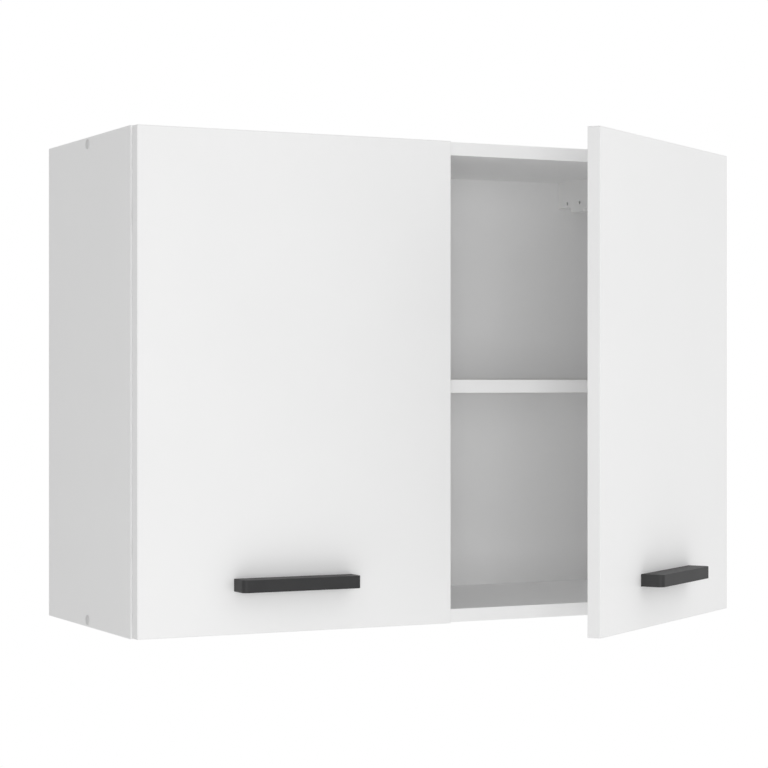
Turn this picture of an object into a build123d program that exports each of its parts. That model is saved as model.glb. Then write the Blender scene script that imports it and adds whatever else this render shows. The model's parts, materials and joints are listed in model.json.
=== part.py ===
from build123d import *
import os

# Hanging wall cabinet with two hinged doors, one shelf and two adjustable hangers.
# Millimetres. X runs to the right, Y into the wall and Z up. The origin lies on the
# wall, midway between the wall plates and midway between their screw holes.

# ---- carcass ----
carcass_width = 800.0
carcass_height = 580.0
carcass_depth = 295.0
board = 16.0                    # thickness of the carcass boards and the shelf
top_above_origin = 86.0         # top of the cabinet above the centre of the wall screws
band_radius = 0.4               # rounding of the banded front edges

# ---- back panel, held in grooves ----
back_thickness = 3.0
back_setback = 15.0             # hollow between the back panel and the wall
groove_depth = 7.0
groove_end_clearance = 1.0

# ---- corner joints: one screw and two dowels in each ----
joint_head_radius = 5.0
joint_head_length = 4.0
joint_neck_radius = 3.5
joint_core_radius = 2.5
joint_core_length = 34.0        # length in the end grain of the top or bottom
joint_socket_radius = 2.0
joint_socket_depth = 3.0
cap_radius = 6.0
cap_thickness = 1.0
cap_edge_radius = 0.6
dowel_radius = 4.0
dowel_in_side = 11.0
dowel_in_end = 19.0
dowel_from_edge = 50.0          # from the front and from the rear edge of the board

# ---- shelf and its supports ----
shelf_underside = 277.0         # above the underside of the cabinet
shelf_side_clearance = 1.0
shelf_front_setback = 5.0
shelf_rear_clearance = 2.0
support_radius = 2.5
support_in_side = 8.0
support_tongue = 8.0
support_tongue_width = 7.0
support_tongue_thickness = 2.5
support_hole_depth = 10.0
support_from_edge = 37.0        # from the front edge, and from the back panel
support_pitch = 32.0
support_steps = 2               # spare holes above and below the ones in use

# ---- doors ----
door_thickness = 16.0
door_gap = 3.0                  # between the carcass and the closed door
door_side_reveal = 1.0          # the door stops this short of the outer face of the side
door_end_reveal = 1.0           # and this short of the top and of the bottom
door_meeting_gap = 2.0          # between the two doors
door_edge_radius = 0.8
right_door_rest_angle = 34.3    # the right door stands open, the left one is closed

# ---- cup hinges ----
hinge_from_door_end = 100.0
cup_radius = 17.5
cup_depth = 12.5
cup_from_door_edge = 3.0
cup_wall = 1.0
cup_floor = 0.8
cup_flange_thickness = 1.0
cup_flange_margin = 1.5         # flange beyond the bore
cup_screw_spacing = 48.0
cup_screw_offset = 6.0          # beyond the centre of the cup
cup_ear_radius = 6.0
cup_screw_length = 10.0
pin_radius = 1.2
pin_half_length = 8.4
pin_from_door_edge = 6.8
pin_depth = 9.5                 # below the door's rear face
eye_radius = 2.0
eye_clearance = 0.05
arm_half_width = 4.5
arm_slot_clearance = 0.3        # between the arm and each cheek of the cup
cheek_thickness = 4.4
cheek_length = 16.0
cheek_top = 1.5                 # cheeks stop this far below the door's rear face
arm_half_thickness = 1.0        # of the stretch that leaves the pin
arm_knee_inner = 3.2            # the arm turns back this far from the side panel
arm_knee_outer = 5.5
arm_web_thickness = 1.5
arm_channel_half_width = 8.5
arm_channel_front = 4.0         # behind the front edge of the side panel
arm_channel_rear = 62.0
arm_front_wall = 2.0
arm_flange_foot = 4.0           # gap between the channel's flanges and the side panel
spring_thickness = 0.8
spring_half_width = 4.0
spring_end_clearance = 1.8      # between the spring's far end and the wall of the cup
spring_rise = 5.2
spring_clearance = 0.7          # between the spring and the knee of the closed arm

# ---- mounting plates of the hinges ----
plate_from_front = 37.0
plate_wing_half_length = 26.0
plate_wing_half_width = 9.0
plate_wing_thickness = 2.0
plate_wing_corner = 4.5
plate_ridge_height = 12.0
plate_ridge_clearance = 0.4     # between the ridge and each flange of the arm
plate_ridge_front = 14.0
plate_screw_spacing = 32.0
plate_screw_length = 12.0
arm_screw_positions = (22.0, 54.0)
arm_screw_length = 8.0

# ---- handles: finger pulls, hollow from below ----
handle_length = 149.0
handle_height = 14.6
handle_projection = 28.0
handle_corner_radius = 6.0
handle_arris = 0.5
handle_screw_spacing = 128.0
handle_centre_height = 58.0     # above the underside of the cabinet
handle_offset = -7.4            # from the middle of the door
handle_end_block = 16.0
handle_roof = 3.5
handle_front_wall = 6.0
handle_rear_wall = 2.5
handle_pocket_corner = 3.0
handle_screw_bite = 12.0

# ---- door bumpers ----
bumper_radius = 4.0
bumper_clearance = 0.2
bumper_edge_radius = 1.0
bumper_from_free_edge = 20.0

# ---- screws ----
wood_screw_radius = 1.75
machine_screw_radius = 2.0
euro_screw_radius = 2.5
screw_head_radius = 3.5
screw_head_height = 2.2
screw_head_edge = 0.9
recess_depth = 1.3              # of the cross in the head
recess_width = 0.8
recess_length = 1.2             # times the head's radius
handle_head_radius = 4.0

# ---- hangers in the upper rear corners ----
cover_width = 59.0
cover_depth = 85.0
cover_height = 35.0             # at the back panel, below the underside of the top
cover_front_drop = 3.0          # further down at the front
cover_lip_drop = 7.0            # and further down at the lip
cover_lip_start = 31.0          # from the back panel
cover_lip_end = 64.0
cover_lip_slope = 2.0
cover_wall = 1.6
cover_hole_radius = 2.25
cover_access_radius = 3.5
bracket_thickness = 2.0
bracket_length = 80.0
bracket_rear_clearance = 1.0
bracket_top = 3.0               # below the underside of the top
bracket_cover_clearance = 0.4   # between the bracket's lower edge and the cover
fixing_head_radius = 3.0
fixing_screw_positions = (23.0, 55.0)
fixing_screw_length = 11.0
depth_screw_offset = 15.5       # from the side panel
depth_screw_length = 22.0
height_screw_from_back = 45.0
foot_half_length = 6.0
foot_width = 13.0
hook_near = 5.0                 # sides of the hook bar, from the side panel
hook_far = 11.0
hook_top = 10.0
hook_bottom = 22.0
hook_length = 70.0              # forward of the back panel
hook_tab_thickness = 2.0
hook_tab_width = 20.0
finger_above_cover_edge = 2.0
finger_thickness = 2.6
finger_clearance = 0.2
back_slot_margin = 2.0          # round the hook bar and its finger

# ---- wall plates ----
wall_plate_thickness = 2.0
wall_plate_width = 60.0
wall_plate_centre = 32.0        # from the inner face of the side panel
wall_plate_top = 16.0           # below the underside of the top
wall_plate_bottom = -24.0       # from the origin
wall_screw_pitch = 25.0
wall_screw_radius = 3.25
strip_below_finger = 3.0

# ---- derived places ----
cover_front_height = cover_height + cover_front_drop
cover_lip_height = cover_height + cover_lip_drop
bracket_bottom = cover_height - cover_wall - bracket_cover_clearance
fixing_screw_row = bracket_bottom - fixing_head_radius
finger_bottom = cover_height - finger_above_cover_edge
strip_bottom = finger_bottom + strip_below_finger
outer_x = carcass_width / 2
inner_x = outer_x - board
front_y = -carcass_depth
rear_y = 0.0
top_z = top_above_origin
bottom_z = top_z - carcass_height
ceiling_z = top_z - board
floor_z = bottom_z + board
back_rear_y = -back_setback
back_front_y = back_rear_y - back_thickness
joint_y = front_y + carcass_depth / 2
shelf_low_z = bottom_z + shelf_underside
shelf_high_z = shelf_low_z + board
door_rear_y = front_y - door_gap
door_front_y = door_rear_y - door_thickness
door_outer_x = outer_x - door_side_reveal
door_inner_x = door_meeting_gap / 2
door_low_z = bottom_z + door_end_reveal
door_high_z = top_z - door_end_reveal
handle_z = bottom_z + handle_centre_height
pin_x = door_outer_x - pin_from_door_edge
pin_y = door_rear_y - pin_depth
cup_x = door_outer_x - cup_from_door_edge - cup_radius
cup_screw_x = cup_x - cup_screw_offset
hinge_heights = {
    "top": door_high_z - hinge_from_door_end,
    "bottom": door_low_z + hinge_from_door_end,
}
left, right = "left", "right"


def block(x, y, z):
    """A box given by its low and high value along each axis."""
    middle = Pos(sum(x) / 2, sum(y) / 2, sum(z) / 2)
    return middle * Box(abs(x[1] - x[0]), abs(y[1] - y[0]), abs(z[1] - z[0]))


def rod(radius, start, end):
    """A round bar from one point to another."""
    direction = Vector(*end) - Vector(*start)
    bar = Cylinder(radius, direction.length, align=(Align.CENTER, Align.CENTER, Align.MIN))
    return Plane(origin=start, z_dir=direction) * bar


def screw(seat, outward, shank_radius, length, head_radius=screw_head_radius):
    """A cross-headed screw whose head sits at the seat and points outward."""
    shank = Pos(0, 0, -length / 2) * Cylinder(shank_radius, length)
    head = Pos(0, 0, screw_head_height / 2) * Cylinder(head_radius, screw_head_height)
    head = fillet(head.edges().group_by(Axis.Z)[-1], screw_head_edge)
    slot = Pos(0, 0, screw_head_height - recess_depth / 2)
    recess = slot * Box(head_radius * recess_length, recess_width, recess_depth)
    recess += slot * Box(recess_width, head_radius * recess_length, recess_depth)
    return Plane(origin=seat, z_dir=outward) * (head + shank - recess)


def to_left(solids):
    """The same pieces mirrored to the left side of the cabinet."""
    return [mirror(solid, about=Plane.YZ) for solid in solids]


def swung(solids):
    """Pieces of the closed right door, turned to where that door stands open."""
    hinge_line = Axis((pin_x, pin_y, 0), (0, 0, 1))
    return [solid.rotate(hinge_line, right_door_rest_angle) for solid in solids]


# ---- carcass boards ----
def support_rows():
    """Depths and heights of all shelf-support holes."""
    depths = (front_y + support_from_edge, back_front_y - support_from_edge)
    steps = range(-support_steps, support_steps + 1)
    heights = [shelf_low_z - support_radius + step * support_pitch for step in steps]
    return [(y, z) for y in depths for z in heights]


def dowels(board_z):
    """The two dowels of the right-hand corner joint at one board."""
    x = (inner_x - dowel_in_end, inner_x + dowel_in_side)
    depths = (front_y + dowel_from_edge, rear_y - dowel_from_edge)
    return [rod(dowel_radius, (x[0], y, board_z), (x[1], y, board_z)) for y in depths]


def joint_screw(board_z):
    """The one-piece joint screw through the right side into the end of a board."""
    head_x = outer_x - joint_head_length
    core_x = inner_x - joint_core_length
    bolt = rod(joint_head_radius, (head_x, joint_y, board_z), (outer_x, joint_y, board_z))
    bolt += rod(joint_neck_radius, (inner_x, joint_y, board_z), (head_x, joint_y, board_z))
    bolt += rod(joint_core_radius, (core_x, joint_y, board_z), (inner_x, joint_y, board_z))
    return bolt


def joint_socket(board_z):
    """Socket in the head of a joint screw."""
    socket_x = outer_x - joint_socket_depth
    start = (socket_x, joint_y, board_z)
    return rod(joint_socket_radius, start, (outer_x, joint_y, board_z))


def screw_cap(board_z):
    """Round cap whose stem fills the socket of a joint screw."""
    start = (outer_x, joint_y, board_z)
    head = rod(cap_radius, start, (outer_x + cap_thickness, joint_y, board_z))
    head = fillet(head.edges().group_by(Axis.X)[-1], cap_edge_radius)
    return head + joint_socket(board_z)


joint_heights = (ceiling_z + board / 2, bottom_z + board / 2)


def side_panel():
    """Right side panel with its groove and all its bores."""
    panel = block((inner_x, outer_x), (front_y, rear_y), (bottom_z, top_z))
    panel = fillet(panel.edges().group_by(Axis.Y)[0], band_radius)
    panel -= block((inner_x, inner_x + groove_depth), (back_front_y, back_rear_y),
                   (floor_z - groove_depth, ceiling_z + groove_depth))
    for board_z in joint_heights:
        panel -= joint_screw(board_z)
        for dowel in dowels(board_z):
            panel -= dowel
    for y, z in support_rows():
        panel -= rod(support_radius, (inner_x, y, z), (inner_x + support_hole_depth, y, z))
    for hinge_z in hinge_heights.values():
        for fixing in plate_screws(hinge_z):
            panel -= fixing
    for fixing in fixing_screws():
        panel -= fixing
    return panel


def end_board(low_z, groove_side):
    """Top or bottom board, grooved on the side that faces the inside."""
    panel = block((-inner_x, inner_x), (front_y, rear_y), (low_z, low_z + board))
    panel = fillet(panel.edges().group_by(Axis.Y)[0], band_radius)
    face_z = low_z + board if groove_side > 0 else low_z
    panel -= block((-inner_x, inner_x), (back_front_y, back_rear_y),
                   (min(face_z, face_z - groove_side * groove_depth),
                    max(face_z, face_z - groove_side * groove_depth)))
    board_z = low_z + board / 2
    fasteners = [joint_screw(board_z)] + dowels(board_z)
    for fastener in fasteners + to_left(fasteners):
        panel -= fastener
    return panel


def back_panel():
    """Thin back panel in the grooves, with a slot for each hook."""
    overlap = groove_depth - groove_end_clearance
    panel = block((-inner_x - overlap, inner_x + overlap), (back_front_y, back_rear_y),
                  (floor_z - overlap, ceiling_z + overlap))
    slot = block((inner_x - hook_far - back_slot_margin, inner_x - hook_near + back_slot_margin),
                 (back_front_y, back_rear_y),
                 (ceiling_z - finger_bottom - back_slot_margin / 2,
                  ceiling_z - hook_top + back_slot_margin))
    return panel - slot - mirror(slot, about=Plane.YZ)


def shelf():
    """Loose shelf that lies on its four supports."""
    half_width = inner_x - shelf_side_clearance
    panel = block((-half_width, half_width),
                  (front_y + shelf_front_setback, back_front_y - shelf_rear_clearance),
                  (shelf_low_z, shelf_high_z))
    return fillet(panel.edges().group_by(Axis.Y)[0], band_radius)


def shelf_supports():
    """The two right-hand supports: a pin in the side and a tongue under the shelf."""
    solids = []
    pin_z = shelf_low_z - support_radius
    for y in (front_y + support_from_edge, back_front_y - support_from_edge):
        pin = rod(support_radius, (inner_x, y, pin_z), (inner_x + support_in_side, y, pin_z))
        tongue = block((inner_x - support_tongue, inner_x),
                       (y - support_tongue_width / 2, y + support_tongue_width / 2),
                       (shelf_low_z - support_tongue_thickness, shelf_low_z))
        web = block((inner_x - support_tongue, inner_x),
                    (y - support_tongue_thickness / 2, y + support_tongue_thickness / 2),
                    (shelf_low_z - 2 * support_radius, shelf_low_z))
        solids.append(pin + tongue + web)
    return solids


# ---- hinge mounting plates and arms, on the right side panel ----
def inside(u, v, z):
    """A box by distances from the right side panel's inner face and behind its front edge."""
    return block((inner_x - u[1], inner_x - u[0]), (front_y + v[0], front_y + v[1]), z)


def plate_screws(hinge_z):
    """Two screws that hold a mounting plate to the side panel."""
    x = inner_x - plate_wing_thickness
    y = front_y + plate_from_front
    heights = (hinge_z - plate_screw_spacing / 2, hinge_z + plate_screw_spacing / 2)
    length = plate_screw_length + plate_wing_thickness
    return [screw((x, y, z), (-1, 0, 0), euro_screw_radius, length) for z in heights]


def arm_screws(hinge_z):
    """Fixing and adjusting screw between the arm and its mounting plate."""
    x = inner_x - plate_ridge_height - arm_web_thickness
    length = arm_screw_length + arm_web_thickness
    places = [(x, front_y + position, hinge_z) for position in arm_screw_positions]
    return [screw(place, (-1, 0, 0), machine_screw_radius, length) for place in places]


def mounting_plate(hinge_z):
    """Winged plate with a raised ridge that carries the arm."""
    ridge_half = arm_channel_half_width - arm_web_thickness - plate_ridge_clearance
    wing = inside((0, plate_wing_thickness),
                  (plate_from_front - plate_wing_half_width, plate_from_front + plate_wing_half_width),
                  (hinge_z - plate_wing_half_length, hinge_z + plate_wing_half_length))
    wing = fillet(wing.edges().filter_by(Axis.X), plate_wing_corner)
    plate = wing + inside((0, plate_ridge_height), (plate_ridge_front, arm_channel_rear),
                          (hinge_z - ridge_half, hinge_z + ridge_half))
    for fixing in plate_screws(hinge_z) + arm_screws(hinge_z):
        plate -= fixing
    return plate


def hinge_arm(hinge_z):
    """Arm from the eye on the pin, through the cup's mouth, to the channel on the plate."""
    narrow = (hinge_z - arm_half_width, hinge_z + arm_half_width)
    wide = (hinge_z - arm_channel_half_width, hinge_z + arm_channel_half_width)
    eye = rod(eye_radius, (pin_x, pin_y, narrow[0]), (pin_x, pin_y, narrow[1]))
    knee_x = inner_x - arm_knee_outer
    stretch = block((knee_x, pin_x), (pin_y - arm_half_thickness, pin_y + arm_half_thickness), narrow)
    leg = block((knee_x, inner_x - arm_knee_inner),
                (pin_y - arm_half_thickness, front_y + arm_channel_front), narrow)
    web_top = plate_ridge_height + arm_web_thickness
    front_wall = inside((arm_knee_inner, web_top),
                        (arm_channel_front, arm_channel_front + arm_front_wall), wide)
    web = inside((plate_ridge_height, web_top), (arm_channel_front, arm_channel_rear), wide)
    arm = eye + stretch + leg + front_wall + web
    for side in (-1, 1):
        flange_z = sorted((hinge_z + side * arm_channel_half_width,
                           hinge_z + side * (arm_channel_half_width - arm_web_thickness)))
        arm += inside((arm_flange_foot, web_top), (arm_channel_front, arm_channel_rear), flange_z)
    bore = pin_radius + eye_clearance
    arm -= rod(bore, (pin_x, pin_y, narrow[0]), (pin_x, pin_y, narrow[1]))
    for fixing in arm_screws(hinge_z):
        arm -= fixing
    return arm


# ---- hinge cups, pins and springs, in the closed right door ----
def cup_screws(hinge_z):
    """Two wood screws that hold a cup's flange to the door."""
    y = door_rear_y + cup_flange_thickness
    heights = (hinge_z - cup_screw_spacing / 2, hinge_z + cup_screw_spacing / 2)
    length = cup_screw_length + cup_flange_thickness
    return [screw((cup_screw_x, y, z), (0, 1, 0), wood_screw_radius, length) for z in heights]


def cup_pin(hinge_z):
    """Pin that the arm turns on."""
    return rod(pin_radius, (pin_x, pin_y, hinge_z - pin_half_length),
               (pin_x, pin_y, hinge_z + pin_half_length))


def cup_bore(hinge_z):
    """Blind bore for the cup in the door's rear face."""
    return rod(cup_radius, (cup_x, door_rear_y, hinge_z), (cup_x, door_rear_y - cup_depth, hinge_z))


def hinge_cup(hinge_z):
    """Cup with a flange, two ears for screws and two cheeks that hold the pin."""
    flange_y = (door_rear_y, door_rear_y + cup_flange_thickness)
    flange = rod(cup_radius + cup_flange_margin, (cup_x, flange_y[0], hinge_z),
                 (cup_x, flange_y[1], hinge_z))
    half_spacing = cup_screw_spacing / 2
    flange += block((cup_screw_x - cup_ear_radius, cup_x), flange_y,
                    (hinge_z - half_spacing, hinge_z + half_spacing))
    for z in (hinge_z - half_spacing, hinge_z + half_spacing):
        flange += rod(cup_ear_radius, (cup_screw_x, flange_y[0], z), (cup_screw_x, flange_y[1], z))
    floor_y = door_rear_y - cup_depth + cup_floor
    hollow = rod(cup_radius - cup_wall, (cup_x, flange_y[1], hinge_z), (cup_x, floor_y, hinge_z))
    slot_half = arm_half_width + arm_slot_clearance
    rim_x = cup_x + cup_radius
    for side in (-1, 1):
        cheek_z = sorted((hinge_z + side * slot_half, hinge_z + side * (slot_half + cheek_thickness)))
        hollow -= block((rim_x - cheek_length, rim_x), (floor_y, door_rear_y - cheek_top), cheek_z)
    cup = flange + cup_bore(hinge_z) - hollow - cup_pin(hinge_z)
    for fixing in cup_screws(hinge_z):
        cup -= fixing
    return cup


def hinge_spring(hinge_z):
    """Leaf spring on the cup's floor that stands up beside the closed arm."""
    tip_x = inner_x - arm_knee_outer - spring_clearance
    floor_y = door_rear_y - cup_depth + cup_floor
    width = (hinge_z - spring_half_width, hinge_z + spring_half_width)
    end_x = cup_x - cup_radius + cup_wall + spring_end_clearance
    leaf = block((end_x, tip_x), (floor_y, floor_y + spring_thickness), width)
    tip = block((tip_x - spring_thickness, tip_x), (floor_y, floor_y + spring_rise), width)
    return leaf + tip


# ---- doors and what is fixed to them ----
def handle_screws(handle_x):
    """Two screws from the door's rear face into a handle."""
    length = door_thickness + handle_screw_bite
    half = handle_screw_spacing / 2
    places = [(handle_x + side * half, door_rear_y, handle_z) for side in (-1, 1)]
    return [screw(place, (0, 1, 0), machine_screw_radius, length, handle_head_radius)
            for place in places]


def handle(handle_x):
    """Finger pull: a block with rounded front corners, hollow from below."""
    half_length = handle_length / 2
    half_height = handle_height / 2
    front = door_front_y - handle_projection
    body = block((handle_x - half_length, handle_x + half_length), (front, door_front_y),
                 (handle_z - half_height, handle_z + half_height))
    body = fillet(body.edges().filter_by(Axis.Z).group_by(Axis.Y)[0], handle_corner_radius)
    body = fillet(body.edges().group_by(Axis.Z)[-1], handle_arris)
    pocket_half = half_length - handle_end_block
    pocket = block((handle_x - pocket_half, handle_x + pocket_half),
                   (front + handle_front_wall, door_front_y - handle_rear_wall),
                   (handle_z - half_height, handle_z + half_height - handle_roof))
    pocket = fillet(pocket.edges().filter_by(Axis.Z), handle_pocket_corner)
    body -= pocket
    for fixing in handle_screws(handle_x):
        body -= fixing
    return body


def door(handle_x):
    """Right door, closed, with its cup bores and screw holes."""
    panel = block((door_inner_x, door_outer_x), (door_front_y, door_rear_y), (door_low_z, door_high_z))
    panel = fillet(panel.edges(), door_edge_radius)
    for hinge_z in hinge_heights.values():
        panel -= cup_bore(hinge_z)
        for fixing in cup_screws(hinge_z):
            panel -= fixing
    for fixing in handle_screws(handle_x):
        panel -= fixing
    return panel


def door_bumpers():
    """Soft buffers at the free corners of the right door's rear face."""
    x = door_inner_x + bumper_from_free_edge
    stop_y = front_y - bumper_clearance
    buffers = []
    for z in joint_heights:
        buffer = rod(bumper_radius, (x, door_rear_y, z), (x, stop_y, z))
        buffers.append(fillet(buffer.edges().group_by(Axis.Y)[-1], bumper_edge_radius))
    return buffers


# ---- hanger in the upper right corner ----
def hanger_box(a, b, c):
    """A box by distances from the side panel, forward of the back panel and below the top."""
    return block((inner_x - a[1], inner_x - a[0]), (back_front_y - b[1], back_front_y - b[0]),
                 (ceiling_z - c[1], ceiling_z - c[0]))


def fixing_screws():
    """Two screws that hold the bracket to the side panel."""
    x = inner_x - bracket_thickness
    z = ceiling_z - fixing_screw_row
    length = fixing_screw_length + bracket_thickness
    places = [(x, back_front_y - position, z) for position in fixing_screw_positions]
    return [screw(place, (-1, 0, 0), euro_screw_radius, length, fixing_head_radius)
            for place in places]


def depth_screw():
    """Screw along Y that draws the hook towards the front."""
    z = ceiling_z - (hook_top + hook_bottom) / 2
    seat = (inner_x - depth_screw_offset, back_front_y - bracket_length, z)
    return screw(seat, (0, -1, 0), machine_screw_radius, depth_screw_length)


def height_screw():
    """Screw from below that carries the hook bar."""
    x = inner_x - (hook_near + hook_far) / 2
    seat = (x, back_front_y - height_screw_from_back, ceiling_z - bracket_bottom)
    return screw(seat, (0, 0, -1), machine_screw_radius, bracket_bottom - hook_bottom)


def hanger_bracket():
    """Steel bracket: a plate on the side, a front tab and a foot for the height screw."""
    plate = hanger_box((0, bracket_thickness), (bracket_rear_clearance, bracket_length),
                       (bracket_top, bracket_bottom))
    tab = hanger_box((0, hook_tab_width), (bracket_length - bracket_thickness, bracket_length),
                     (bracket_top, bracket_bottom - bracket_thickness))
    foot_reach = (height_screw_from_back - foot_half_length, height_screw_from_back + foot_half_length)
    foot = hanger_box((0, foot_width), foot_reach,
                      (bracket_bottom - bracket_thickness, bracket_bottom))
    bracket = plate + tab + foot - depth_screw() - height_screw()
    for fixing in fixing_screws():
        bracket -= fixing
    return bracket


def hanger_hook():
    """Hook bar: through the back panel, over the wall plate's strip and down behind it."""
    reach = -back_front_y - wall_plate_thickness - finger_clearance
    bar = hanger_box((hook_near, hook_far), (-reach, hook_length), (hook_top, hook_bottom))
    tab = hanger_box((hook_near, hook_tab_width), (hook_length - hook_tab_thickness, hook_length),
                     (hook_top, hook_bottom))
    finger = hanger_box((hook_near, hook_far), (-reach, -reach + finger_thickness),
                        (hook_top, finger_bottom))
    return bar + tab + finger - depth_screw()


def hanger_cover():
    """Thin plastic cover over the bracket, open towards the side, top and back."""
    outline = [
        (0, 0),
        (cover_depth, 0),
        (cover_depth, cover_front_height),
        (cover_lip_end, cover_front_height),
        (cover_lip_end, cover_lip_height),
        (cover_lip_start + cover_lip_slope, cover_lip_height),
        (cover_lip_start, cover_height),
        (0, cover_height),
    ]
    points = [(inner_x, back_front_y - b, ceiling_z - c) for b, c in outline]
    profile = make_face(Polyline(*points, close=True))
    shell = extrude(profile, amount=cover_width, dir=(-1, 0, 0))
    hollow_outline = [
        (0, 0),
        (cover_depth - cover_wall, 0),
        (cover_depth - cover_wall, cover_front_height - cover_wall),
        (cover_lip_end - cover_wall, cover_front_height - cover_wall),
        (cover_lip_end - cover_wall, cover_lip_height - cover_wall),
        (cover_lip_start + cover_lip_slope + cover_wall, cover_lip_height - cover_wall),
        (cover_lip_start + cover_wall, cover_height - cover_wall),
        (0, cover_height - cover_wall),
    ]
    points = [(inner_x, back_front_y - b, ceiling_z - c) for b, c in hollow_outline]
    profile = make_face(Polyline(*points, close=True))
    cover = shell - extrude(profile, amount=cover_width - cover_wall, dir=(-1, 0, 0))
    face_x = inner_x - cover_width
    row_z = ceiling_z - fixing_screw_row
    for position in fixing_screw_positions:
        y = back_front_y - position
        cover -= rod(cover_hole_radius, (face_x, y, row_z), (face_x + cover_wall, y, row_z))
    depth_z = ceiling_z - (hook_top + hook_bottom) / 2
    depth_x = inner_x - depth_screw_offset
    front = back_front_y - cover_depth
    cover -= rod(cover_access_radius, (depth_x, front, depth_z), (depth_x, front + cover_wall, depth_z))
    height_x = inner_x - (hook_near + hook_far) / 2
    height_y = back_front_y - height_screw_from_back
    low = ceiling_z - cover_lip_height
    cover -= rod(cover_access_radius, (height_x, height_y, low), (height_x, height_y, low + cover_wall))
    return cover


def wall_plate():
    """Plate on the wall with a raised strip that the hook drops behind."""
    middle = inner_x - wall_plate_centre
    x = (middle - wall_plate_width / 2, middle + wall_plate_width / 2)
    plate = block(x, (-wall_plate_thickness, 0), (wall_plate_bottom, ceiling_z - wall_plate_top))
    strip_rear = -wall_plate_thickness - finger_thickness - 2 * finger_clearance
    strip_front = strip_rear - wall_plate_thickness
    plate += block(x, (strip_front, strip_rear), (ceiling_z - strip_bottom, ceiling_z - hook_bottom))
    plate += block(x, (strip_front, -wall_plate_thickness),
                   (ceiling_z - strip_bottom - wall_plate_thickness, ceiling_z - strip_bottom))
    for z in (-wall_screw_pitch / 2, wall_screw_pitch / 2):
        plate -= rod(wall_screw_radius, (middle, -wall_plate_thickness, z), (middle, 0, z))
    return plate


# ---- every node, as a list of separate solids ----
nodes = {}


def both_sides(name, solids):
    """Add a right-hand piece and its mirrored left-hand one, each as a node."""
    nodes[f"{name}_{right}"] = solids
    nodes[f"{name}_{left}"] = to_left(solids)


def on_doors(name, solids):
    """Add a piece of the right door, swung open, and its mirrored one on the closed left door."""
    nodes[f"{name}_{right}"] = swung(solids)
    nodes[f"{name}_{left}"] = to_left(solids)


both_sides("side_panel", [side_panel()])
nodes["top_panel"] = [end_board(ceiling_z, -1)]
nodes["bottom_panel"] = [end_board(bottom_z, 1)]
nodes["back_panel"] = [back_panel()]
nodes["shelf"] = [shelf()]

joint_screws = [joint_screw(z) - joint_socket(z) for z in joint_heights]
caps = [screw_cap(z) for z in joint_heights]
corner_dowels = [dowel for z in joint_heights for dowel in dowels(z)]
supports = shelf_supports()
nodes["joint_screws"] = joint_screws + to_left(joint_screws)
nodes["screw_caps"] = caps + to_left(caps)
nodes["wooden_dowels"] = corner_dowels + to_left(corner_dowels)
nodes["shelf_supports"] = supports + to_left(supports)

both_sides("hanger_cover", [hanger_cover()])
both_sides("hanger_bracket", [hanger_bracket()])
both_sides("hanger_hook", [hanger_hook()])
both_sides("hanger_height_screw", [height_screw()])
both_sides("hanger_depth_screw", [depth_screw()])
both_sides("hanger_fixing_screws", fixing_screws())
both_sides("wall_plate", [wall_plate()])

plate_fixings = []
arm_fixings = []
for level, hinge_z in hinge_heights.items():
    both_sides(f"hinge_plate_{level}", [mounting_plate(hinge_z)])
    both_sides(f"hinge_arm_{level}", [hinge_arm(hinge_z)])
    on_doors(f"hinge_cup_{level}", [hinge_cup(hinge_z)])
    on_doors(f"hinge_pin_{level}", [cup_pin(hinge_z)])
    on_doors(f"hinge_spring_{level}", [hinge_spring(hinge_z)])
    plate_fixings += plate_screws(hinge_z)
    arm_fixings += arm_screws(hinge_z)
nodes["hinge_plate_screws"] = plate_fixings + to_left(plate_fixings)
nodes["hinge_arm_screws"] = arm_fixings + to_left(arm_fixings)

# The handles stand off the middle of their doors by the same amount to the same side,
# so the left handle is not the mirror of the right one.
door_middle = (door_inner_x + door_outer_x) / 2
right_handle_x = door_middle + handle_offset
mirrored_handle_x = door_middle - handle_offset
nodes["door_right"] = swung([door(right_handle_x)])
nodes["door_left"] = to_left([door(mirrored_handle_x)])
nodes["handle_right"] = swung([handle(right_handle_x)])
nodes["handle_left"] = to_left([handle(mirrored_handle_x)])
nodes["handle_screws_right"] = swung(handle_screws(right_handle_x))
nodes["handle_screws_left"] = to_left(handle_screws(mirrored_handle_x))
cup_fixings = [fixing for hinge_z in hinge_heights.values() for fixing in cup_screws(hinge_z)]
on_doors("cup_screws", cup_fixings)
on_doors("door_bumpers", door_bumpers())

os.makedirs("parts", exist_ok=True)
for name, solids in nodes.items():
    shape = solids[0] if len(solids) == 1 else Compound(children=solids)
    export_step(shape, f"parts/{name}.step")
print(len(nodes), "nodes written")
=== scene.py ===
import json
import math

import bmesh
import bpy
from mathutils import Matrix, Vector


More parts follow.
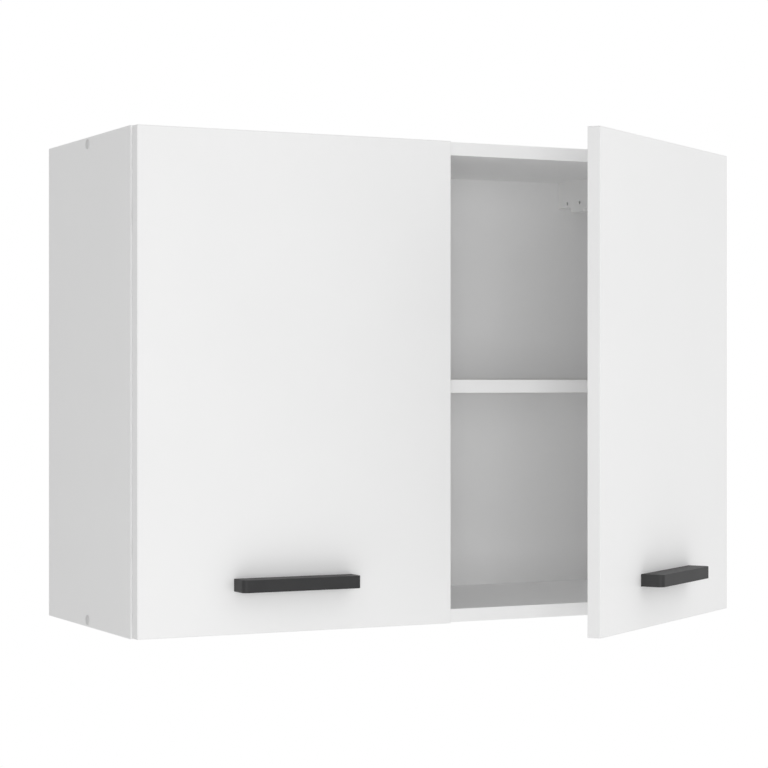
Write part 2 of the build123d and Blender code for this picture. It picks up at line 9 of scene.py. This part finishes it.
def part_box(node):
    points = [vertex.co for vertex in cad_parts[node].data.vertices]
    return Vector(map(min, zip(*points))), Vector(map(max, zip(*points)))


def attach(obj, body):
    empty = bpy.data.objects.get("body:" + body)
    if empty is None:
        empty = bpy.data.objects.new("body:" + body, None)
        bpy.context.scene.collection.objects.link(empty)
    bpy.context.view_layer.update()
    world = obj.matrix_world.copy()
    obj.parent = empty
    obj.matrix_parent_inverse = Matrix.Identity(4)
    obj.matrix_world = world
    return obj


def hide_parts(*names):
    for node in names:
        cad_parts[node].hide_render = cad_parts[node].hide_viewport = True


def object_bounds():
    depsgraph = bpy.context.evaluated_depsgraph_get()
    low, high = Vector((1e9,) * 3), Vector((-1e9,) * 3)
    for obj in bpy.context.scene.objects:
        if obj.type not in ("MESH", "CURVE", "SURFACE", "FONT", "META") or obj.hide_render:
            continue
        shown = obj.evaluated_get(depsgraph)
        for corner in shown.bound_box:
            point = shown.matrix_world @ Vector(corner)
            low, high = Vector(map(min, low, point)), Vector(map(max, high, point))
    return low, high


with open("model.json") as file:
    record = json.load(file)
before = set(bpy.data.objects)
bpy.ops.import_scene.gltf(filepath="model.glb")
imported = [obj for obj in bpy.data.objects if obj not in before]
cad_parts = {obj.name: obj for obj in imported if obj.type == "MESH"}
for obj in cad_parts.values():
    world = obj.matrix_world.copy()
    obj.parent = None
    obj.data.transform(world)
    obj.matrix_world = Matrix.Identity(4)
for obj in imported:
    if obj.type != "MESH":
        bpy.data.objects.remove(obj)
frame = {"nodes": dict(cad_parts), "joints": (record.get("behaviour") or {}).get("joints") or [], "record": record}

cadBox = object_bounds()
nodes = frame["nodes"]
joints = {joint["name"]: joint for joint in frame["joints"]}
slotOf = {part["node"]: part["material_slot"] for part in frame["record"]["subparts"]}
bodyOf = {node: body for body, members in frame["record"]["behaviour"]["bodies"].items()
          for node in members}
print("frame loaded:", len(nodes), "nodes")


# camera, floor and light
stageSettings = {
    "cameraPlace": (-1.2814, -2.7174, -0.2043),
    "cameraHeading": 26.36,      # degrees from straight at the wall, towards the right
    "cameraTilt": -0.04,
    "lens": 106.5,
    "nearestSeen": 0.05,
    "floorHeight": -2.3,
    "floorRadius": 7.0,
    "floorSides": 96,
    "floorColour": (0.93, 0.93, 0.925),
    "floorRoughness": 0.8,
    "lightLevel": 0.714,         # strength of the surroundings
    "lightLean": (0.295, 0.12, 0.0),   # added towards this direction
    "lampPlace": (-1.85, -4.5, -0.3),
    "lampSize": 1.9,
    "lampPower": 55.0,
    "bounces": 16,
    "diffuseBounces": 12,
}


def makeCamera():
    data = bpy.data.cameras.new("camera")
    data.lens = stageSettings["lens"]
    data.sensor_width = 36.0
    data.clip_start = stageSettings["nearestSeen"]
    camera = bpy.data.objects.new("camera", data)
    camera.location = stageSettings["cameraPlace"]
    tilt = math.radians(90 + stageSettings["cameraTilt"])
    camera.rotation_euler = (tilt, 0, -math.radians(stageSettings["cameraHeading"]))
    bpy.context.collection.objects.link(camera)
    bpy.context.scene.camera = camera


def makeWorld():
    # surroundings that brighten towards one direction; the camera itself sees plain white
    world = bpy.data.worlds.new("studio")
    bpy.context.scene.world = world
    world.use_nodes = True
    tree = world.node_tree
    tree.nodes.clear()
    output = tree.nodes.new("ShaderNodeOutputWorld")
    background = tree.nodes.new("ShaderNodeBackground")
    background.inputs["Color"].default_value = (1, 1, 1, 1)
    direction = tree.nodes.new("ShaderNodeTexCoord")
    lean = tree.nodes.new("ShaderNodeVectorMath")
    lean.operation = "DOT_PRODUCT"
    lean.inputs[1].default_value = stageSettings["lightLean"]
    level = tree.nodes.new("ShaderNodeMath")
    level.operation = "ADD"
    level.inputs[1].default_value = stageSettings["lightLevel"]
    seen = tree.nodes.new("ShaderNodeLightPath")
    choose = tree.nodes.new("ShaderNodeMix")
    choose.data_type = "FLOAT"
    choose.inputs["B"].default_value = 1.0
    tree.links.new(direction.outputs["Generated"], lean.inputs[0])
    tree.links.new(lean.outputs["Value"], level.inputs[0])
    tree.links.new(seen.outputs["Is Camera Ray"], choose.inputs["Factor"])
    tree.links.new(level.outputs["Value"], choose.inputs["A"])
    tree.links.new(choose.outputs["Result"], background.inputs["Strength"])
    tree.links.new(background.outputs["Background"], output.inputs["Surface"])


def makeLamp():
    data = bpy.data.lights.new("roomLight", "AREA")
    data.shape = "SQUARE"
    data.size = stageSettings["lampSize"]
    data.energy = stageSettings["lampPower"]
    lamp = bpy.data.objects.new("roomLight", data)
    lamp.location = stageSettings["lampPlace"]
    lamp.visible_camera = False
    aim = (Vector(cadBox[0]) + Vector(cadBox[1])) / 2 - lamp.location
    lamp.rotation_euler = aim.to_track_quat("-Z", "Y").to_euler()
    bpy.context.collection.objects.link(lamp)


def makeFloor():
    bm = bmesh.new()
    bmesh.ops.create_circle(bm, cap_ends=True, segments=stageSettings["floorSides"],
                            radius=stageSettings["floorRadius"],
                            matrix=Matrix.Translation((0, 0, stageSettings["floorHeight"])))
    mesh = bpy.data.meshes.new("floor")
    bm.to_mesh(mesh)
    bm.free()
    floor = bpy.data.objects.new("floor", mesh)
    bpy.context.collection.objects.link(floor)
    material = bpy.data.materials.new("paleFloor")
    material.use_nodes = True
    shader = material.node_tree.nodes["Principled BSDF"]
    shader.inputs["Base Color"].default_value = (*stageSettings["floorColour"], 1)
    shader.inputs["Roughness"].default_value = stageSettings["floorRoughness"]
    mesh.materials.append(material)


makeCamera()
makeWorld()
makeLamp()
makeFloor()
bpy.context.scene.cycles.max_bounces = stageSettings["bounces"]
bpy.context.scene.cycles.diffuse_bounces = stageSettings["diffuseBounces"]
bpy.context.scene.view_settings.view_transform = "Standard"
print("stage ready")


# small helpers for building shader trees
def feed(tree, socket, value):
    if isinstance(value, bpy.types.NodeSocket):
        tree.links.new(value, socket)
    elif socket.type == "RGBA":
        socket.default_value = (*value, 1)
    else:
        socket.default_value = value


def addMath(tree, operation, *values):
    node = tree.nodes.new("ShaderNodeMath")
    node.operation = operation
    for socket, value in zip(node.inputs, values):
        feed(tree, socket, value)
    return node.outputs["Value"]


def addVectorMath(tree, operation, *values):
    node = tree.nodes.new("ShaderNodeVectorMath")
    node.operation = operation
    for socket, value in zip(node.inputs, values):
        feed(tree, socket, value)
    return node.outputs["Vector"]


def addScaled(tree, vector, factor):
    node = tree.nodes.new("ShaderNodeVectorMath")
    node.operation = "SCALE"
    feed(tree, node.inputs["Vector"], vector)
    feed(tree, node.inputs["Scale"], factor)
    return node.outputs["Vector"]


def addSplit(tree, vector):
    node = tree.nodes.new("ShaderNodeSeparateXYZ")
    tree.links.new(vector, node.inputs["Vector"])
    return node.outputs["X"], node.outputs["Y"], node.outputs["Z"]


def addNoise(tree, vector, scale, detail=3.0, roughness=0.5):
    node = tree.nodes.new("ShaderNodeTexNoise")
    for name, value in (("Vector", vector), ("Scale", scale), ("Detail", detail),
                        ("Roughness", roughness)):
        feed(tree, node.inputs[name], value)
    return node.outputs["Fac"]


def addRange(tree, value, low, high, toLow, toHigh):
    node = tree.nodes.new("ShaderNodeMapRange")
    for name, number in (("Value", value), ("From Min", low), ("From Max", high),
                         ("To Min", toLow), ("To Max", toHigh)):
        feed(tree, node.inputs[name], number)
    return node.outputs["Result"]


def addMix(tree, kind, factor, first, second):
    # kind is Color or Float
    node = tree.nodes.new("ShaderNodeMix")
    node.data_type = "RGBA" if kind == "Color" else "FLOAT"
    wanted = {"Factor_Float": factor, f"A_{kind}": first, f"B_{kind}": second}
    for socket in node.inputs:
        if socket.identifier in wanted:
            feed(tree, socket, wanted[socket.identifier])
    return next(s for s in node.outputs if s.identifier == f"Result_{kind}")


def newGroup(name, inputs, outputs):
    group = bpy.data.node_groups.new(name, "ShaderNodeTree")
    kinds = {"vector": "NodeSocketVector", "number": "NodeSocketFloat", "colour": "NodeSocketColor"}
    for socketName, kind in inputs.items():
        group.interface.new_socket(socketName, in_out="INPUT", socket_type=kinds[kind])
    for socketName, kind in outputs.items():
        group.interface.new_socket(socketName, in_out="OUTPUT", socket_type=kinds[kind])
    given = group.nodes.new("NodeGroupInput").outputs
    made = group.nodes.new("NodeGroupOutput").inputs
    return group, given, made


def addGroup(tree, group, values):
    node = tree.nodes.new("ShaderNodeGroup")
    node.node_tree = group
    for name, value in values.items():
        feed(tree, node.inputs[name], value)
    return node.outputs


# shader groups: each gives a colour, a roughness and a height
surfaceOutputs = {"Colour": "colour", "Roughness": "number", "Height": "number"}
noiseSpread = (0.3, 0.7)         # most of a noise's values lie between these
plainSettings = {
    "grainSpread": (0.25, 0.75),
    "sheenSwing": (0.92, 1.08),
}
chipSettings = {
    "stretch": (1.0, 0.75, 1.3),
    "chipScales": (420.0, 980.0),
    "fineShare": 0.45,
    "dustScale": 2600.0,
    "dustShare": 0.3,
    "dark": (0.25, 0.15, 0.075),
    "light": (0.68, 0.50, 0.31),
    "roughness": (0.95, 0.8),
}


def makePlainGroup():
    # fine pebbled skin with slow clouds in its colour, for plastics, foil and laminate
    group, given, made = newGroup("plainSurface", {
        "Vector": "vector", "Colour": "colour", "Roughness": "number", "Grain Scale": "number",
        "Cloud Scale": "number", "Cloud Depth": "number"}, surfaceOutputs)
    grain = addNoise(group, given["Vector"], given["Grain Scale"], 2.0, 0.55)
    cloud = addNoise(group, given["Vector"], given["Cloud Scale"], 4.0, 0.55)
    swing = addMath(group, "MULTIPLY", addRange(group, cloud, *noiseSpread, -1.0, 1.0),
                    given["Cloud Depth"])
    feed(group, made["Colour"],
         addScaled(group, given["Colour"], addMath(group, "ADD", swing, 1.0)))
    sheen = addRange(group, grain, *plainSettings["grainSpread"], *plainSettings["sheenSwing"])
    feed(group, made["Roughness"], addMath(group, "MULTIPLY", given["Roughness"], sheen))
    feed(group, made["Height"], grain)
    return group


def makeChipGroup():
    # pressed chips of many sizes and shades, as bare particle board shows where it is cut
    group, given, made = newGroup("chipCore", {"Vector": "vector"}, surfaceOutputs)
    flat = addVectorMath(group, "MULTIPLY", given["Vector"], chipSettings["stretch"])
    shades = []
    for scale in chipSettings["chipScales"]:
        cells = group.nodes.new("ShaderNodeTexVoronoi")
        cells.inputs["Scale"].default_value = scale
        group.links.new(flat, cells.inputs["Vector"])
        shades.append(addSplit(group, cells.outputs["Color"])[0])
    shade = addMix(group, "Float", chipSettings["fineShare"], *shades)
    dust = addNoise(group, given["Vector"], chipSettings["dustScale"], 3.0, 0.6)
    shade = addMix(group, "Float", chipSettings["dustShare"], shade, dust)
    feed(group, made["Colour"],
         addMix(group, "Color", shade, chipSettings["dark"], chipSettings["light"]))
    feed(group, made["Roughness"],
         addRange(group, shade, 0.0, 1.0, *chipSettings["roughness"]))
    feed(group, made["Height"], shade)
    return group


boardSettings = {
    "white": (0.95, 0.95, 0.95),
    "roughness": 0.55,
    "skin": (0.00042, 0.00052),  # depth below the faces where the core begins
    "bareEdge": (0.00004, 0.0001),   # depth from the rear edge over which its core shows
    "band": 0.0008,              # thickness of the edge band
    "doorSeam": (0.00009, (0.60, 0.59, 0.57)),      # half width and shade of the glue line
    "carcassSeam": (0.00012, (0.50, 0.49, 0.47)),
    "peelScale": 1100.0,
    "cloudScale": 6.0,
    "cloudDepth": 0.008,
    "chipRelief": 4.0,
    "bump": 0.15,
    "bumpDepth": 0.00005,
}


def makeBoardGroup(plainGroup, chipGroup):
    # laminate with hair-thin seams beside the edge bands; bores, grooves and the rear edge are bare
    group, given, made = newGroup("boardSurface", {
        "Vector": "vector", "Centre": "vector", "Half Size": "vector", "Band X": "number",
        "Band Front": "number", "Band Z": "number", "Bare Rear": "number", "Seam Width": "number",
        "Seam Shade": "colour"}, surfaceOutputs)
    offset = addVectorMath(group, "SUBTRACT", given["Vector"], given["Centre"])
    depth = addVectorMath(group, "SUBTRACT", given["Half Size"],
                          addVectorMath(group, "ABSOLUTE", offset))
    depthX, depthY, depthZ = addSplit(group, depth)
    offsetY = addSplit(group, offset)[1]
    halfY = addSplit(group, given["Half Size"])[1]
    least = addMath(group, "MINIMUM", addMath(group, "MINIMUM", depthX, depthY), depthZ)
    core = addRange(group, least, *boardSettings["skin"], 0.0, 1.0)
    rear = addRange(group, addMath(group, "SUBTRACT", halfY, offsetY),
                    *boardSettings["bareEdge"], 1.0, 0.0)
    core = addMath(group, "MAXIMUM", core, addMath(group, "MULTIPLY", rear, given["Bare Rear"]))
    seam = 0.0
    for distance, banded in ((depthX, "Band X"), (depthZ, "Band Z"),
                             (addMath(group, "ADD", offsetY, halfY), "Band Front")):
        away = addMath(group, "ABSOLUTE",
                       addMath(group, "SUBTRACT", distance, boardSettings["band"]))
        line = addRange(group, away, 0.0, given["Seam Width"], 1.0, 0.0)
        seam = addMath(group, "MAXIMUM", seam, addMath(group, "MULTIPLY", line, given[banded]))
    skin = addGroup(group, plainGroup, {
        "Vector": given["Vector"], "Colour": boardSettings["white"],
        "Roughness": boardSettings["roughness"], "Grain Scale": boardSettings["peelScale"],
        "Cloud Scale": boardSettings["cloudScale"], "Cloud Depth": boardSettings["cloudDepth"]})
    chips = addGroup(group, chipGroup, {"Vector": given["Vector"]})
    face = addMix(group, "Color", seam, skin["Colour"], given["Seam Shade"])
    feed(group, made["Colour"], addMix(group, "Color", core, face, chips["Colour"]))
    feed(group, made["Roughness"], addMix(group, "Float", core, skin["Roughness"],
                                          chips["Roughness"]))
    smooth = addMath(group, "SUBTRACT", skin["Height"], seam)
    rough = addMath(group, "MULTIPLY", chips["Height"], boardSettings["chipRelief"])
    feed(group, made["Height"], addMix(group, "Float", core, smooth, rough))
    return group


platedSettings = {
    "cloudScale": 160.0,
    "spotScale": 1500.0,
    "spotSpread": (0.5, 0.8),    # only the noise's highest values make spots
    "spotRelief": 0.5,
    "cloudSwing": (-1.0, 0.6),
    "lineSwing": (-1.0, 0.7),
}


def makeMetalGroup():
    # plated steel: fine drawing lines along the part, soft mottling and small plating spots
    group, given, made = newGroup("platedSurface", {
        "Vector": "vector", "Colour": "colour", "Roughness": "number", "Line Stretch": "vector",
        "Line Depth": "number", "Mottle": "number"}, surfaceOutputs)
    lines = addNoise(group, addVectorMath(group, "MULTIPLY", given["Vector"],
                                          given["Line Stretch"]), 1.0, 2.0, 0.6)
    cloud = addNoise(group, given["Vector"], platedSettings["cloudScale"], 4.0, 0.6)
    spots = addNoise(group, given["Vector"], platedSettings["spotScale"], 2.0, 0.5)
    swing = addMath(group, "MULTIPLY", given["Mottle"],
                    addRange(group, cloud, *noiseSpread, *platedSettings["cloudSwing"]))
    drawn = addMath(group, "MULTIPLY", given["Line Depth"],
                    addRange(group, lines, *noiseSpread, *platedSettings["lineSwing"]))
    shade = addMath(group, "ADD", addMath(group, "ADD", swing, 1.0), drawn)
    feed(group, made["Colour"], addScaled(group, given["Colour"], shade))
    dull = addMath(group, "MULTIPLY", given["Mottle"],
                   addRange(group, spots, *platedSettings["spotSpread"], 0.0, 1.0))
    feed(group, made["Roughness"], addMath(group, "ADD", given["Roughness"],
                                           addMath(group, "ADD", drawn, dull)))
    relief = addMath(group, "MULTIPLY", spots, platedSettings["spotRelief"])
    feed(group, made["Height"], addMath(group, "ADD", lines, relief))
    return group


plainGroup = makePlainGroup()
chipGroup = makeChipGroup()
boardGroup = makeBoardGroup(plainGroup, chipGroup)
metalGroup = makeMetalGroup()


def newFinish(name):
    material = bpy.data.materials.new(name)
    material.use_nodes = True
    tree = material.node_tree
    place = tree.nodes.new("ShaderNodeTexCoord")
    return material, tree, tree.nodes["Principled BSDF"], place.outputs["Object"]


def dress(tree, shader, surface, bump, distance):
    tree.links.new(surface["Colour"], shader.inputs["Base Color"])
    tree.links.new(surface["Roughness"], shader.inputs["Roughness"])
    node = tree.nodes.new("ShaderNodeBump")
    node.inputs["Strength"].default_value = bump
    node.inputs["Distance"].default_value = distance
    tree.links.new(surface["Height"], node.inputs["Height"])
    tree.links.new(node.outputs["Normal"], shader.inputs["Normal"])


def makePlain(name, settings):
    material, tree, shader, vector = newFinish(name)
    surface = addGroup(tree, plainGroup, {
        "Vector": vector, "Colour": settings["colour"], "Roughness": settings["roughness"],
        "Grain Scale": settings["grainScale"], "Cloud Scale": settings["cloudScale"],
        "Cloud Depth": settings["cloudDepth"]})
    shader.inputs["Specular IOR Level"].default_value = settings["specular"]
    dress(tree, shader, surface, settings["bump"], plasticBumpDepth)
    return material


def makeMetal(name, settings):
    material, tree, shader, vector = newFinish(name)
    surface = addGroup(tree, metalGroup, {
        "Vector": vector, "Colour": settings["colour"], "Roughness": settings["roughness"],
        "Line Stretch": settings["lineStretch"], "Line Depth": settings["lineDepth"],
        "Mottle": settings["mottle"]})
    shader.inputs["Metallic"].default_value = 1.0
    dress(tree, shader, surface, settings["bump"], metalBumpDepth)
    return material


plasticBumpDepth = 0.00005
metalBumpDepth = 0.00001
plastics = {
    "handle_plastic": {"colour": (0.034, 0.034, 0.035), "roughness": 0.55, "grainScale": 2600.0,
                       "cloudScale": 45.0, "cloudDepth": 0.08, "bump": 0.3, "specular": 0.36},
    "cap_plastic": {"colour": (0.68, 0.68, 0.68), "roughness": 0.45, "grainScale": 2000.0,
                    "cloudScale": 90.0, "cloudDepth": 0.02, "bump": 0.15, "specular": 0.5},
    "white_plastic": {"colour": (0.95, 0.95, 0.945), "roughness": 0.4, "grainScale": 2200.0,
                      "cloudScale": 30.0, "cloudDepth": 0.01, "bump": 0.12, "specular": 0.5},
}
metals = {
    "nickel_steel": {"colour": (0.56, 0.545, 0.515), "roughness": 0.22, "mottle": 0.03,
                     "bump": 0.04, "lineStretch": (1500.0, 1500.0, 120.0), "lineDepth": 0.025},
    "spring_steel": {"colour": (0.36, 0.37, 0.42), "roughness": 0.33, "mottle": 0.1, "bump": 0.08,
                     "lineStretch": (300.0, 2500.0, 2500.0), "lineDepth": 0.05},
    "zinc_steel": {"colour": (0.62, 0.64, 0.67), "roughness": 0.32, "mottle": 0.08, "bump": 0.12,
                   "lineStretch": (900.0, 900.0, 400.0), "lineDepth": 0.04},
}
backPanelSettings = {
    "foil": (0.90, 0.90, 0.90),
    "foilRoughness": 0.5,
    "foilDepth": (0.0001, 0.0002),   # depth behind the panel's front where the fibre begins
    "fibreStretches": ((260.0, 900.0, 1400.0), (1300.0, 900.0, 300.0)),
    "fibreSpread": (0.4, 0.75),
    "dark": (0.20, 0.115, 0.055),
    "light": (0.40, 0.26, 0.14),
    "fibreRoughness": 0.85,
    "fibreRelief": 3.0,
    "bump": 0.2,
    "bumpDepth": 0.00005,
}
beechSettings = {
    "grainStretch": (40.0, 900.0, 900.0),
    "fleckStretch": (260.0, 3000.0, 3000.0),
    "dark": (0.50, 0.31, 0.17),
    "light": (0.71, 0.50, 0.31),
    "fleck": (0.30, 0.16, 0.08),
    "fleckSpread": (0.62, 0.7),
    "fleckStrength": 0.6,
    "roughness": (0.7, 0.55),
    "bump": 0.3,
    "bumpDepth": 0.0001,
}
bumperSettings = {
    "colour": (0.80, 0.81, 0.82),
    "roughness": 0.3,
    "clearness": 0.55,
    "refraction": 1.42,
    "bump": 0.1,
    "bumpDepth": 0.00005,
}


def makeBackPanel(name):
    # white foil in front, pressed brown fibre behind and in the slots
    material, tree, shader, vector = newFinish(name)
    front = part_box("back_panel")[0].y
    foil = addGroup(tree, plainGroup, {
        "Vector": vector, "Colour": backPanelSettings["foil"],
        "Roughness": backPanelSettings["foilRoughness"],
        "Grain Scale": 900.0, "Cloud Scale": 5.0, "Cloud Depth": 0.01})
    fibres = [addNoise(tree, addVectorMath(tree, "MULTIPLY", vector, stretch), 1.0, 4.0, 0.65)
              for stretch in backPanelSettings["fibreStretches"]]
    matted = addMath(tree, "MAXIMUM", *fibres)
    brown = addMix(tree, "Color",
                   addRange(tree, matted, *backPanelSettings["fibreSpread"], 0.0, 1.0),
                   backPanelSettings["dark"], backPanelSettings["light"])
    fromFront = addMath(tree, "SUBTRACT", addSplit(tree, vector)[1], front)
    bare = addRange(tree, fromFront, *backPanelSettings["foilDepth"], 0.0, 1.0)
    relief = addMath(tree, "MULTIPLY", matted, backPanelSettings["fibreRelief"])
    surface = {
        "Colour": addMix(tree, "Color", bare, foil["Colour"], brown),
        "Roughness": addMix(tree, "Float", bare, foil["Roughness"],
                            backPanelSettings["fibreRoughness"]),
        "Height": addMix(tree, "Float", bare, foil["Height"], relief),
    }
    dress(tree, shader, surface, backPanelSettings["bump"], backPanelSettings["bumpDepth"])
    return material


def makeBeech(name):
    # straight pale grain along the dowel with short darker flecks
    material, tree, shader, vector = newFinish(name)
    along = addVectorMath(tree, "MULTIPLY", vector, beechSettings["grainStretch"])
    grain = addNoise(tree, along, 1.0, 4.0, 0.6)
    across = addVectorMath(tree, "MULTIPLY", vector, beechSettings["fleckStretch"])
    flecks = addNoise(tree, across, 1.0, 1.0)
    wood = addMix(tree, "Color", addRange(tree, grain, *noiseSpread, 0.0, 1.0),
                  beechSettings["dark"], beechSettings["light"])
    marked = addRange(tree, flecks, *beechSettings["fleckSpread"],
                      0.0, beechSettings["fleckStrength"])
    surface = {"Colour": addMix(tree, "Color", marked, wood, beechSettings["fleck"]),
               "Roughness": addRange(tree, grain, *noiseSpread, *beechSettings["roughness"]),
               "Height": grain}
    dress(tree, shader, surface, beechSettings["bump"], beechSettings["bumpDepth"])
    return material


def makeBumper(name):
    # milky soft plastic that lets a little light through
    material, tree, shader, vector = newFinish(name)
    surface = addGroup(tree, plainGroup, {
        "Vector": vector, "Colour": bumperSettings["colour"],
        "Roughness": bumperSettings["roughness"],
        "Grain Scale": 1500.0, "Cloud Scale": 300.0, "Cloud Depth": 0.03})
    shader.inputs["Transmission Weight"].default_value = bumperSettings["clearness"]
    shader.inputs["IOR"].default_value = bumperSettings["refraction"]
    dress(tree, shader, surface, bumperSettings["bump"], bumperSettings["bumpDepth"])
    return material


hinge = joints["right_door_hinge"]
doorTurn = -math.radians(hinge["range_deg"][0])


def makeBoard(name, node, banded, bareRear, seamKind, turned=False):
    # banded lists the edges that carry a band: x, front or z; a turned board is the mirror
    # image of its node, swung open about the right door's hinge
    material, tree, shader, vector = newFinish(name)
    low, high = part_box(node)
    centre = (low + high) / 2
    seam = boardSettings[seamKind]
    if turned:
        centre.x = -centre.x
        turn = tree.nodes.new("ShaderNodeVectorRotate")
        turn.inputs["Center"].default_value = hinge["pos_m"]
        turn.inputs["Axis"].default_value = (0, 0, 1)
        turn.inputs["Angle"].default_value = -doorTurn
        tree.links.new(vector, turn.inputs["Vector"])
        vector = turn.outputs["Vector"]
    surface = addGroup(tree, boardGroup, {
        "Vector": vector, "Centre": centre, "Half Size": (high - low) / 2,
        "Band X": float("x" in banded), "Band Front": float("front" in banded),
        "Band Z": float("z" in banded), "Bare Rear": float(bareRear),
        "Seam Width": seam[0], "Seam Shade": seam[1]})
    dress(tree, shader, surface, boardSettings["bump"], boardSettings["bumpDepth"])
    return material


finishes = {slot: makePlain(slot, settings) for slot, settings in plastics.items()}
finishes.update({slot: makeMetal(slot, settings) for slot, settings in metals.items()})
finishes["back_board"] = makeBackPanel("back_board")
finishes["beech"] = makeBeech("beech")
finishes["clear_bumper"] = makeBumper("clear_bumper")
boardFinishes = {node: makeBoard(f"board_{node}", node, ("front",), True, "carcassSeam")
                 for node in ("side_panel_left", "side_panel_right", "top_panel", "bottom_panel",
                              "shelf")}
for side, turned in (("left", False), ("right", True)):
    boardFinishes[f"door_{side}"] = makeBoard(f"board_door_{side}", "door_left", ("x", "z"), False,
                                              "doorSeam", turned)


def finishOf(name):
    return boardFinishes[name] if name in boardFinishes else finishes[slotOf[name]]


for name, node in nodes.items():
    node.data.materials.clear()
    node.data.materials.append(finishOf(name))
print("finishes ready:", len(finishes) + len(boardFinishes))


# fittings with their creases rounded over, in place of the sharp ones
softEdges = {                    # start of the name: rounding in metres, steps across it
    "handle_left": (0.0006, 3),
    "handle_right": (0.0006, 3),
    "hanger_cover": (0.0006, 3),
    "hanger_bracket": (0.0003, 2),
    "hanger_hook": (0.0004, 2),
    "wall_plate": (0.0004, 2),
    "hinge_cup": (0.00025, 2),
    "hinge_arm_top": (0.0004, 3),
    "hinge_arm_bottom": (0.0004, 3),
    "hinge_plate_top": (0.0005, 3),
    "hinge_plate_bottom": (0.0005, 3),
    "hinge_spring": (0.0002, 2),
    "hinge_pin": (0.0002, 2),
    "hinge_plate_screws": (0.00012, 2),
    "hinge_arm_screws": (0.00012, 2),
    "cup_screws": (0.00012, 2),
    "handle_screws": (0.00012, 2),
    "hanger_fixing_screws": (0.00012, 2),
    "hanger_depth_screw": (0.00012, 2),
    "hanger_height_screw": (0.00012, 2),
    "shelf_supports": (0.0003, 2),
    "screw_caps": (0.0002, 2),
    "wooden_dowels": (0.0006, 2),
}
creaseAngle = math.radians(32)   # sharper edges are rounded
flatAngle = math.radians(0.8)    # flatter neighbours become one face
mergeDistance = 0.000002


def softCopy(name, width, steps):
    bm = bmesh.new()
    bm.from_mesh(nodes[name].data)
    bmesh.ops.remove_doubles(bm, verts=bm.verts, dist=mergeDistance)
    bmesh.ops.dissolve_limit(bm, angle_limit=flatAngle, verts=bm.verts, edges=bm.edges)
    creases = [edge for edge in bm.edges
               if edge.is_manifold and edge.calc_face_angle() > creaseAngle]
    bmesh.ops.bevel(bm, geom=creases, offset=width, offset_type="OFFSET", segments=steps,
                    profile=0.5, affect="EDGES", clamp_overlap=True, material=-1)
    bmesh.ops.recalc_face_normals(bm, faces=bm.faces)
    for face in bm.faces:
        face.smooth = True
    mesh = bpy.data.meshes.new(f"{name}_soft")
    bm.to_mesh(mesh)
    bm.free()
    mesh.materials.append(finishOf(name))
    piece = bpy.data.objects.new(f"{name}_soft", mesh)
    bpy.context.collection.objects.link(piece)
    even = piece.modifiers.new("evenNormals", "WEIGHTED_NORMAL")
    even.keep_sharp = True
    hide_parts(name)
    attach(piece, bodyOf[name])


for name in sorted(nodes):
    for start, (width, steps) in softEdges.items():
        if name.startswith(start):
            softCopy(name, width, steps)
print("soft copies ready")
